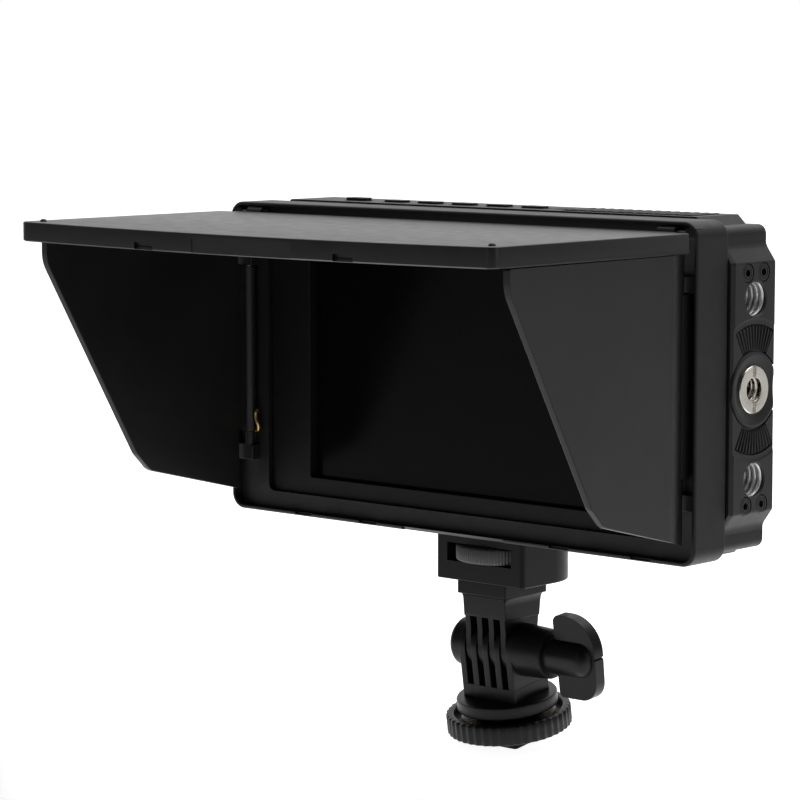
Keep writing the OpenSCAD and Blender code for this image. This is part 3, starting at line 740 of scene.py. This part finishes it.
def make_side(right):
    side = "right" if right else "left"
    edge = rounded([(BW, -37.4), (BW, -34.6), (PLATE_X, -30.4), (PLATE_X, 31.4), (BW, 35.6), (BW, 38.4)], [0, 4, 1.3, 1.3, 4, 0], 6)
    edge[0], edge[-1] = (BW - 0.5, edge[1][1]), (BW - 0.5, edge[-2][1])
    nose = rounded([(BW, -37.4), (BW, -33.9), (PLATE_X - 0.8, -30.1), (PLATE_X - 0.8, 31.1), (BW, 34.9), (BW, 38.4)], [0, 4, 1.3, 1.3, 4, 0], 6)
    nose[0], nose[-1] = (BW - 0.5, nose[1][1]), (BW - 0.5, nose[-2][1])
    f = cut(bev(prism(edge, "y", 12.9, B_BACK), 0.3, 3, 40), box((BW - 2, 12, -40), (PLATE_X + 1, 13.8, 40)))
    f = add(f, prism(nose, "y", 12.9, 13.8, edge))
    cuts = [rev([(PLATE_X - 0.24, 0), (PLATE_X - 0.24, 17.3), (PLATE_X - 0.16, 17.6), (PLATE_X + 0.1, 18.0), (PLATE_X + 1, 19), (PLATE_X + 1, 0)], "x", ROS_Y, 0, 160),
            rev([(PLATE_X - 0.72, 0), (PLATE_X - 0.72, 9.9), (PLATE_X + 1, 9.9), (PLATE_X + 1, 0)], "x", ROS_Y, 0, 96)]
    cuts += [prism(fan(a, 9.7, 16.25, 29.3), "x", PLATE_X - 0.92, PLATE_X + 1) for a in (90, 270)]
    for z in (INS_Z, -INS_Z):
        cuts += [cyl("x", BW - 1, PLATE_X - 1.1, ROS_Y, z, 4.8),
                 rev([(PLATE_X - 1.3, 0), (PLATE_X - 1.3, 4.2), (PLATE_X - 0.35, 4.2), (PLATE_X + 0.1, 4.6), (PLATE_X + 1, 5.5), (PLATE_X + 1, 0)], "x", ROS_Y, z, 72)]
    cuts.append(cyl("x", BW - 1, PLATE_X + 1, ROS_Y, 0, 6.0))
    for y in (-3.3, 3.3):
        for z in (-28.7, 28.9):
            cuts += [cyl("x", BW - 1, PLATE_X + 1, ROS_Y + y, z, 1.3, 32), cyl("x", PLATE_X - 2.0, PLATE_X + 1, ROS_Y + y, z, 2.42, 48)]
    f = boo(f, cuts, "DIFFERENCE")
    tidy(f)
    # raised ring round the bushing and the two fans of teeth, clipped to the plate
    ring = rev([(PLATE_X - 1.0, 9.5), (PLATE_X - 0.4, 9.5), (PLATE_X - 0.14, 9.3), (PLATE_X - 0.05, 8.95), (PLATE_X - 0.06, 8.55), (PLATE_X - 0.18, 8.2),
                (PLATE_X - 0.78, 6.3), (PLATE_X - 0.8, 6.06), (PLATE_X - 1.0, 6.06)], "x", ROS_Y, 0, 128, closed=True)
    parts = [f, common(ring, box((BW, 13.0, -17), (PLATE_X + 1, B_BACK - 0.2, 17)))]
    for s in (90, 270):
        for k in range(12):
            a = s + (k - 5.5) * 4.8
            bm = bmesh.new()
            vs = []
            for r, hw, hi in ((10.1, 0.38, 0.09), (10.5, 0.40, 0.11), (15.7, 0.63, 0.18), (16.0, 0.64, 0.18)):
                top = PLATE_X - (0.12 if 10.4 < r < 15.9 else 0.5)
                vs.append([bm.verts.new((PLATE_X - 1.0, r, -hw)), bm.verts.new((PLATE_X - 1.0, r, hw)), bm.verts.new((top, r, hi)), bm.verts.new((top, r, -hi))])
            bm.faces.new(vs[0])
            bm.faces.new(vs[-1])
            for u in range(3):
                for i in range(4):
                    j = (i + 1) % 4
                    bm.faces.new((vs[u][i], vs[u][j], vs[u + 1][j], vs[u + 1][i]))
            bmesh.ops.recalc_face_normals(bm, faces=bm.faces)
            t = obj("part", bm)
            t.data.transform(Matrix.Translation((0, ROS_Y, 0)) @ Matrix.Rotation(math.radians(a - 90), 4, "X") @ Matrix.Rotation(math.radians(90), 4, "X"))
            parts.append(t)
    f = join(parts)
    scr = []
    for y in (-3.3, 3.3):
        for z in (-28.7, 28.9):
            s = rev([(BW, 0), (BW, 1.25), (PLATE_X - 2.0, 1.25), (PLATE_X - 2.0, 2.3), (PLATE_X - 0.28, 2.3), (PLATE_X - 0.1, 2.14), (PLATE_X - 0.07, 1.9), (PLATE_X - 0.07, 0)],
                    "x", ROS_Y + y, z, 48)
            s = cut(s, prism(circle(1.0, 6, ROS_Y + y, z, 0.3 + y), "x", PLATE_X - 1.3, PLATE_X + 1),
                    rev([(PLATE_X - 0.2, 1.4), (PLATE_X - 0.2, 1.62), (PLATE_X + 1, 1.62), (PLATE_X + 1, 1.4)], "x", ROS_Y + y, z, 48, closed=True))
            scr.append(s)
    screws = join(scr)
    sleeves, coils = [], []
    for z in (INS_Z, -INS_Z):
        sleeves.append(rev([(72.0, 4.5), (72.0, 4.78), (PLATE_X - 1.12, 4.78), (PLATE_X - 1.12, 4.5)], "x", ROS_Y, z, 72, closed=True))
        coils.append(coil(72.8, PLATE_X - 0.95, ROS_Y, z, 4.42, 0.58, 0.70, 1.5875))
    bush = rev([(75.6, 3.2), (75.6, 5.98), (PLATE_X - 0.35, 5.98), (PLATE_X - 0.15, 5.78), (PLATE_X - 0.15, 3.3), (PLATE_X - 0.3, 3.1)], "x", ROS_Y, 0, 96, closed=True)
    bush = cut(bush, box((PLATE_X - 0.75, ROS_Y - 0.7, -8), (PLATE_X + 1, ROS_Y + 0.7, 8)))
    bush = join([bush, coil(75.9, PLATE_X - 1.0, ROS_Y, 0, 3.2, 0.55, 0.55, 1.27)])
    out = [(f, side + "_rosette_plate", "plate_metal", M_PLATE), (screws, side + "_plate_screws", "screw_black", M_SCREW),
           (join(sleeves), side + "_insert_sleeves", "insert_steel", M_PIN), (join(coils), side + "_coil_inserts", "insert_steel", M_COIL),
           (bush, side + "_bushing", "bushing_nickel", M_NICKEL)]
    for o, nm, sl, mt in out:
        if not right:
            mirror_x(o)
        done(o, nm, "monitor", mt, ["side_plate_" + side] if "rosette" in nm else (), weighted="coil" not in nm)
    if right:
        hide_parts("side_plate_screws")
        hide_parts("coil_inserts")
        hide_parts("centre_bushings")


def make_back():
    f = box((-21, B_BACK, -20), (21, B_BACK + 2.4, 34))
    bev(f, 0.5, 3, 40)
    for s in (1, -1):
        pts = [(s * 17.4, B_BACK + 2.0), (s * 21, B_BACK + 2.0), (s * 21, B_BACK + 5.4), (s * 15.6, B_BACK + 5.4), (s * 15.6, B_BACK + 4.0), (s * 17.4, B_BACK + 4.0)]
        f = add(f, prism(pts, "z", -16, 32))
    f = cut(f, box((-5.3, B_BACK + 0.4, -17), (5.3, B_BACK + 7, -9)), box((-8, B_BACK + 0.4, 24), (8, B_BACK + 7, 32)))
    bev(f, 0.22, 2, 40)
    done(f, "battery_mount_plate", "monitor", M_SHELL, ["battery_plate"])
    b = box((-5, B_BACK + 0.7, -14.8), (5, B_BACK + 2.4, -11.2))
    b = add(b, prism([(B_BACK + 2.3, -14.2), (B_BACK + 4.2, -14.2), (B_BACK + 3.0, -11.8), (B_BACK + 2.3, -11.8)], "x", -4, 4))
    bev(b, 0.2, 2, 40)
    done(b, "battery_latch_key", "battery_latch", M_BUTTON, ["battery_latch"])
    cs = []
    for x in (-5, 0, 5):
        c = prism(rounded([(B_BACK + 0.4, 25), (B_BACK + 2.2, 25), (B_BACK + 3.4, 26.4), (B_BACK + 3.4, 30), (B_BACK + 2.0, 31.5), (B_BACK + 0.4, 31.5)], [0, 0.6, 0.8, 0.8, 0.6, 0], 5), "x", x - 0.6, x + 0.6)
        bev(c, 0.12, 2, 40)
        cs.append(c)
    done(join(cs), "battery_blades", "monitor", M_GOLD, ["battery_contacts"])
    vs, tongues = [], []
    for x in (-52, -32):
        out = [(x + 0.1, -24.1), (x + 0.1, -27.6), (x + 2.3, -29.9), (x + 13.7, -29.9), (x + 15.9, -27.6), (x + 15.9, -24.1)]
        inn = [(x + 0.6, -24.6), (x + 0.6, -27.4), (x + 2.5, -29.4), (x + 13.5, -29.4), (x + 15.4, -27.4), (x + 15.4, -24.6)]
        s = prism(out, "y", 20, B_BACK - 0.2)
        s = cut(s, prism(inn, "y", 22, B_BACK + 1))
        bev(s, 0.12, 2, 40)
        vs.append(s)
        t = box((x + 2.6, 21.5, -27.4), (x + 13.4, B_BACK - 1.6, -26.5))
        bev(t, 0.15, 2, 40)
        tongues.append(t)
    done(join(vs), "video_socket_shells", "monitor", M_TIN, ["video_sockets"])
    done(join(tongues), "video_socket_tongues", "monitor", M_SOCKET)
    s = rev([(19, 0), (19, 4.1), (B_BACK - 0.4, 4.1), (B_BACK - 0.1, 3.8), (B_BACK - 0.1, 3.1), (B_BACK - 0.4, 2.9), (21, 2.9), (21, 0)], "y", 28, -27, 64)
    done(s, "dc_socket_barrel", "monitor", M_SOCKET, ["dc_socket"])
    s = rev([(20.8, 0), (20.8, 1.0), (28.4, 1.0), (29.0, 0.7), (29.1, 0)], "y", 28, -27, 32)
    done(s, "dc_socket_pin", "monitor", M_TIN)
    s = rev([(18, 0), (18, 3.1), (B_BACK - 0.3, 3.1), (B_BACK - 0.1, 2.9), (B_BACK - 0.1, 2.0), (B_BACK - 0.3, 1.8), (19.5, 1.8), (19.5, 0)], "y", 42, -27, 64)
    done(s, "headphone_socket_barrel", "monitor", M_SOCKET, ["headphone_socket"])
    ss = []
    for i in (-1, 1):
        for z in (-34, 34):
            s = rev([(B_BACK - 8, 0), (B_BACK - 8, 1.5), (B_BACK, 1.5), (B_BACK, 2.6), (B_BACK + 0.6, 2.55), (B_BACK + 0.9, 2.0), (B_BACK + 1.0, 1.2), (B_BACK + 1.0, 0)], "y", i * 70, z, 48)
            s = cut(s, box((i * 70 - 1.6, B_BACK + 0.35, z - 0.28), (i * 70 + 1.6, B_BACK + 2, z + 0.28)))
            s = cut(s, box((i * 70 - 0.28, B_BACK + 0.35, z - 1.6), (i * 70 + 0.28, B_BACK + 2, z + 1.6)))
            ss.append(s)
    done(join(ss), "housing_screws", "monitor", M_ZINC, ["rear_screws"])


make_bezel()
make_shell()
make_side(True)
make_side(False)
make_back()


# ---------------------------------------------------------------- stand
def block_outline(r=15.0, y0=12.0, front=1.2):
    out = [(-r, BLOCK_Y), (-r, y0 + front)]
    out += [(-r + front - front * math.cos(t), y0 + front - front * math.sin(t)) for t in (math.pi / 8 * k for k in range(1, 5))]
    out += [(r - front + front * math.sin(t), y0 + front - front * math.cos(t)) for t in (math.pi / 8 * k for k in range(0, 5))]
    out += [(r * math.cos(t), BLOCK_Y + r * math.sin(t)) for t in (math.pi / 48 * k for k in range(0, 48))]
    return out


def make_upper_stand():
    p = bev(prism(block_outline(14.4, 13.2, 1.0), "z", -44, -42.6), 0.25, 2, 40)
    p = cut(p, cyl("z", -45, -41, 0, WHEEL_Y, 3.6))
    done(p, "rubber_pad", "monitor", M_RUBBER, ["mount_pad"])
    b = bev(prism(block_outline(), "z", -56, -44), 0.35, 3, 40)
    b = cut(b, cyl("z", -51.0, -46.1, 0, WHEEL_Y, 12.65, 96), box((-11, 11, -51.0), (11, WHEEL_Y, -46.1)), cyl("z", -47, -43, 0, WHEEL_Y, 3.4, 48), cyl("z", -57, -50, 0, WHEEL_Y, 3.4, 48))
    n = bev(box((-8.3, 13, -59.6), (8.3, 30, -56.0)), 0.3, 3, 40)
    done(tidy(b), "stand_block", "monitor", M_STAND, ["mount_block"])
    teeth = 92

    def knurl(a, t, r):
        if r > 11.6:
            r -= 0.3 * (0.5 - 0.5 * math.cos(teeth * a)) ** 0.7
        return t, r

    w = rev([(-50.7, 3.17), (-50.7, 11.5), (-50.45, 12.05), (-50.15, 12.25), (-47.0, 12.25), (-46.75, 12.05), (-46.5, 11.5), (-46.5, 3.17)], "z", 0, WHEEL_Y, teeth * 6, closed=True, fun=knurl)
    done(w, "knurled_thumb_wheel", "thumb_wheel", M_WHEEL, ["thumb_wheel"], sharp=70, weighted=False)
    n2 = prism([(13.9, -59.8), (14.4, -65.0), (14.9, -69.0), (14.9, -74), (28.1, -74), (28.1, -69), (28.5, -65.0), (29.0, -59.8)], "x", -7.2, 7.2)
    n2 = add(n2, cyl("x", -7.2, 7.2, 21.5, -74, 6.6, 72))
    cuts = [box((x - 1.13, 5, -82), (x + 1.13, 38, -65.6)) for x in (-4, 0, 4)]
    cuts += [box((6.87, 5, -82), (10, 38, -65.6)), box((-10, 5, -82), (-6.87, 38, -65.6)), cyl("x", -8, 8, 21.5, -74, 2.55, 40)]
    n2 = boo(n2, cuts, "DIFFERENCE")
    bev(n2, 0.22, 2, 50)
    hollow = [(7.2 + 1.1 * (1 - math.sin(math.pi * k / 16)), -59.5 - 2.2 * (1 - math.cos(math.pi * k / 16))) for k in range(9)]
    flare = prism(hollow + [(-x, z) for x, z in hollow[::-1]], "y", 14.2, 28.8)
    done(join([n, flare, n2]), "finned_neck", "monitor", M_STAND, ["tilt_neck"])


def make_lower_stand():
    b = bev(box((-9.04, -7.04, -13.1), (9.04, 7.04, -9.1)), 0.3, 3, 40)
    parts = [b]
    for x in (-8, -4, 0, 4, 8):
        q = prism([(-7, -11), (7, -11)] + [(7 * math.cos(t), 7 * math.sin(t)) for t in (math.pi / 36 * k for k in range(37))], "x", x - 1, x + 1)
        q = bev(q, 0.22, 2, 40)
        parts.append(cut(q, cyl("x", x - 1.5, x + 1.5, 0, 0, 2.55, 40)))
    # boss that the bolt comes out of
    parts.append(rev([(8.9, 2.55), (8.9, 7.0), (17.4, 6.55), (17.85, 6.35), (18.0, 5.95), (18.0, 2.55)], "x", 0, 0, 96, closed=True))
    disc = rev([(-12.9, 5.05), (-12.9, 12.8), (-13.05, 13.25), (-13.45, 13.5), (-15.9, 13.5), (-16.3, 13.3), (-16.4, 12.9), (-16.4, 9.0), (-18.2, 9.0), (-18.2, 5.05)], "z", 0, 0, 128, closed=True)
    parts.append(disc)
    done(join(parts), "finned_base", "clevis", M_STAND, ["clevis_base"], T=T_FOOT)
    c = rev([(-9.0, 2.5), (-9.0, 6.65), (-11.7, 6.65), (-12.3, 6.5), (-13.1, 5.8), (-13.6, 4.6), (-13.85, 2.6), (-13.9, 0), (-9.6, 0), (-9.6, 2.5)], "x", 0, 0, 72)
    done(c, "round_cap", "clevis", M_STAND, ["bolt_cap"], T=T_FOOT)

    # wing knob: hub, dome and blade
    k = prism(rounded([(19.5, 11.4), (20.6, -10.7), (33.0, -10.7), (33.0, 11.4)], [2.0, 1.6, 5, 9.5], 14), "y", -1.8, 1.8)
    k = cut(k, prism(rounded([(32.4, 0.7), (33.8, 1.4), (33.8, -0.1)], 0.05, 2), "y", -3, 3))
    bev(k, 0.7, 4, 50)
    spin(k, "x", -3, 0, 0)
    hub = rev([(18.65, 0), (18.65, 4.7), (18.95, 5.1), (28.4, 5.0), (30.0, 4.5), (31.0, 3.6), (31.7, 2.2), (32.0, 0)], "x", 0, 0, 72)
    k = add(k, hub)
    k = cut(k, rev([(18, 0), (18, 2.56), (27.6, 2.56), (27.6, 0)], "x", 0, 0, 40))
    done(tidy(k), "wing_knob_moulding", "knob", M_KNOB, ["wing_knob"], T=T_FOOT)

    N = 44

    def flute(a, t, r):
        if r > 15.9:
            q = 0.5 + 0.5 * math.cos(N * a)
            r -= 0.34 * (1 - q) ** 0.8
        return t, r

    r = rev([(-22.5, 5.35), (-22.5, 15.8), (-22.35, 16.4), (-22.05, 16.7), (-17.5, 16.7), (-17.2, 16.5), (-17.07, 16.1), (-17.05, 15.5), (-17.05, 15.1),
             (-17.1, 14.7), (-17.3, 14.5), (-19.4, 14.5), (-19.4, 5.35)], "z", 0, 0, N * 8, closed=True, fun=flute)
    done(r, "knurled_lock_ring", "lock_ring", M_STAND, ["lock_ring"], T=T_FOOT, sharp=50, weighted=False)
    f = prism(rounded([(-9.3, -9), (9.3, -9), (9.3, 9), (-9.3, 9)], 1, 5), "z", -24.8, -22.8)
    bev(f, 0.25, 3, 40)
    f = join([f, cyl("z", -23.2, -12.4, 0, 0, 5, 64)])
    done(f, "shoe_foot_plate", "foot", M_FOOT, ["shoe_foot"], T=T_FOOT)


make_upper_stand()
make_lower_stand()

# ---------------------------------------------------------------- CAD nodes that show as they are
CARRIED = {"top_hinge_pins": M_PIN, "left_hinge_pin": M_PIN, "right_hinge_pin": M_PIN, "lcd_panel": M_ALU, "main_board": M_BOARD,
           "bottom_insert": M_PIN, "mount_screw": M_PIN, "tilt_bolt": M_PIN, "knob_washer": M_ZINC, "swivel_washer": M_WASHER_SHADED}
for name, mat in CARRIED.items():
    o = frame["nodes"][name]
    o.data.materials.clear()
    o.data.materials.append(mat)
